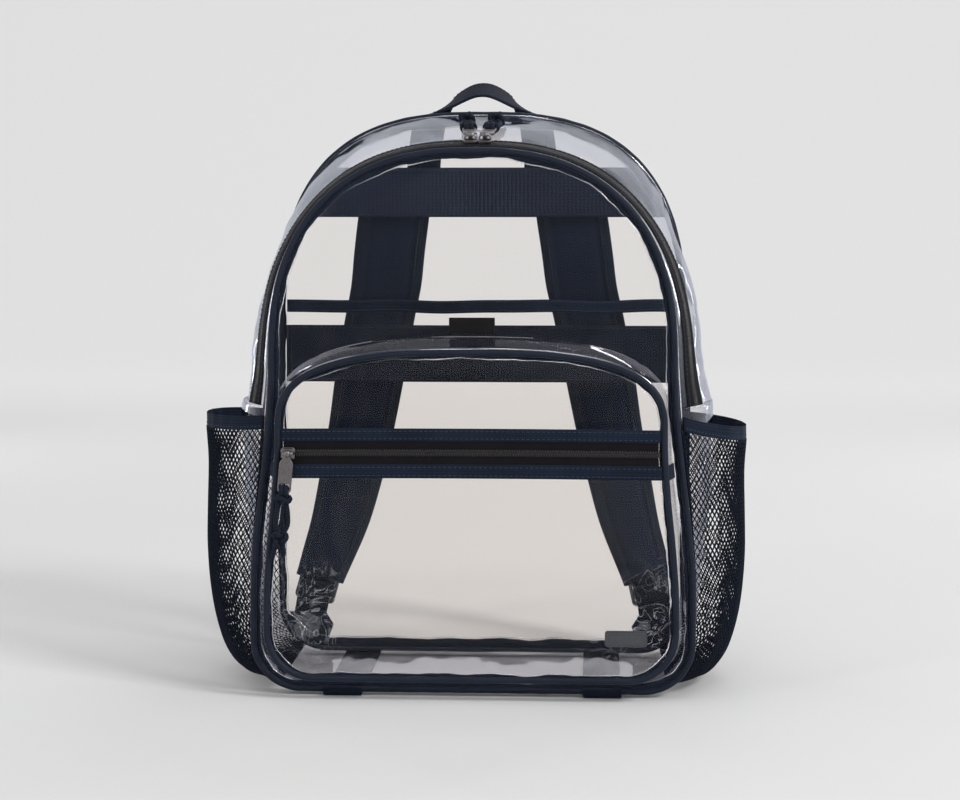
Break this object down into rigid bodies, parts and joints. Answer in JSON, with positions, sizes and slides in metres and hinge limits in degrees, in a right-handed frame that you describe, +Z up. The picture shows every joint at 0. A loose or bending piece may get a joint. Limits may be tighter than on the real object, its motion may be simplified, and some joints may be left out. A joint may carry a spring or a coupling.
{
  "type": "clear stadium backpack",
  "caption": "See-through film backpack with navy piping, a zipped arch top, a zipped front pocket, mesh side pockets, padded shoulder straps and a carry handle.",
  "frame": {"origin": "on the surface that the bag stands on, under the middle of its bounding box without the pull cords", "axes": "+Z up, +Y towards the shoulder straps, +X to the right as seen from the front, which faces -Y"},
  "size_m": [0.385, 0.226, 0.4349],
  "materials": {
    "film": "clear vinyl film, glossy and see-through",
    "piping": "navy polyester piping with a soft sheen",
    "navy_fabric": "navy woven binding tape with stitching",
    "webbing": "dark navy webbing and air mesh",
    "mesh_fabric": "open navy knitted mesh",
    "zipper_tape": "near-black woven zipper tape and nylon coil",
    "zipper_metal": "satin gunmetal",
    "buckle_plastic": "moulded dark navy plastic",
    "label": "woven black label, bare",
    "patch": "moulded grey rubber patch with a stitched border, bare",
    "cord": "braided dark navy cord"
  },
  "bodies": {
    "root": {"back_panel": "film", "front_panel": "film", "lower_gusset": "film", "upper_gusset_front": "film", "upper_gusset_rear": "film", "pocket_gusset": "film", "pocket_panel_upper": "film", "pocket_panel_lower": "film", "sleeve_panel": "film", "back_piping": "piping", "front_piping_left": "piping", "front_piping_right": "piping", "front_piping_arch": "piping", "pocket_piping": "piping", "main_zipper_tape_front": "zipper_tape", "main_zipper_tape_rear": "zipper_tape", "main_zipper_coil": "zipper_tape", "pocket_zipper_tape_upper": "zipper_tape", "pocket_zipper_tape_lower": "zipper_tape", "pocket_zipper_coil": "zipper_tape", "pocket_zipper_binding_upper": "navy_fabric", "pocket_zipper_binding_lower": "navy_fabric", "zipper_end_tab_left": "navy_fabric", "zipper_end_tab_right": "navy_fabric", "sleeve_binding": "navy_fabric", "mesh_rim_left": "navy_fabric", "mesh_rim_right": "navy_fabric", "strap_anchor_left": "navy_fabric", "strap_anchor_right": "navy_fabric", "mesh_pocket_left": "mesh_fabric", "mesh_pocket_right": "mesh_fabric", "yoke": "webbing", "luggage_band": "webbing", "handle": "webbing", "shoulder_strap_left": "webbing", "shoulder_strap_right": "webbing", "strap_webbing_left": "webbing", "strap_webbing_right": "webbing", "base_webbing_left": "webbing", "base_webbing_right": "webbing", "strap_adjuster_left": "buckle_plastic", "strap_adjuster_right": "buckle_plastic", "front_label": "label", "rubber_patch": "patch", "pocket_slider": "zipper_metal", "pocket_puller": "zipper_metal", "main_slider_left": "zipper_metal", "main_slider_right": "zipper_metal", "main_puller_left": "zipper_metal", "main_puller_right": "zipper_metal", "pocket_pull_cord": "cord", "main_pull_cord_left": "cord", "main_pull_cord_right": "cord"}
  },
  "joints": []
}
